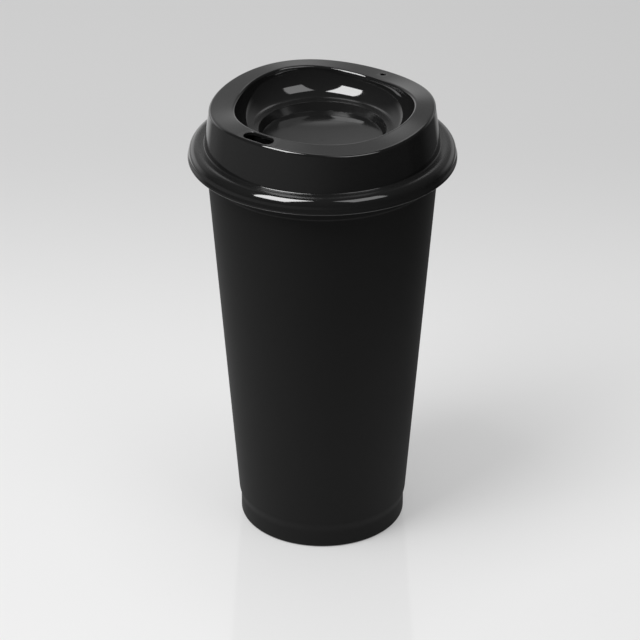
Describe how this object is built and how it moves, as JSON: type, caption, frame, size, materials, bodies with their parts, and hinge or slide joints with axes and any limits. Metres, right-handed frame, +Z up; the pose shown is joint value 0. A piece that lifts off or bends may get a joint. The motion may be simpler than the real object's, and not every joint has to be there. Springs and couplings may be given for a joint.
{
  "type": "plastic cup",
  "caption": "Tapered reusable plastic cup with a push-fit lid; the lid has a wavy drinking ring, a deep recess, a sip hole and a small vent.",
  "frame": {"origin": "centre of the ring that the cup stands on, at the bottom of the bounding box", "axes": "+Z up along the cup's axis, -Y towards the sip hole, +X to the right of someone who looks at the sip hole from outside"},
  "size_m": [0.0976, 0.0976, 0.1696],
  "materials": {
    "cup_plastic": "fine matt, moulded",
    "lid_plastic": "glossy, moulded"
  },
  "bodies": {
    "cup": {"cup": "cup_plastic"},
    "lid": {"lid": "lid_plastic"}
  },
  "joints": [
    {"name": "lid_lift", "type": "slide", "parent": "cup", "child": "lid", "axis": [0, 0, 1], "range_m": [0, 0.04]}
  ]
}
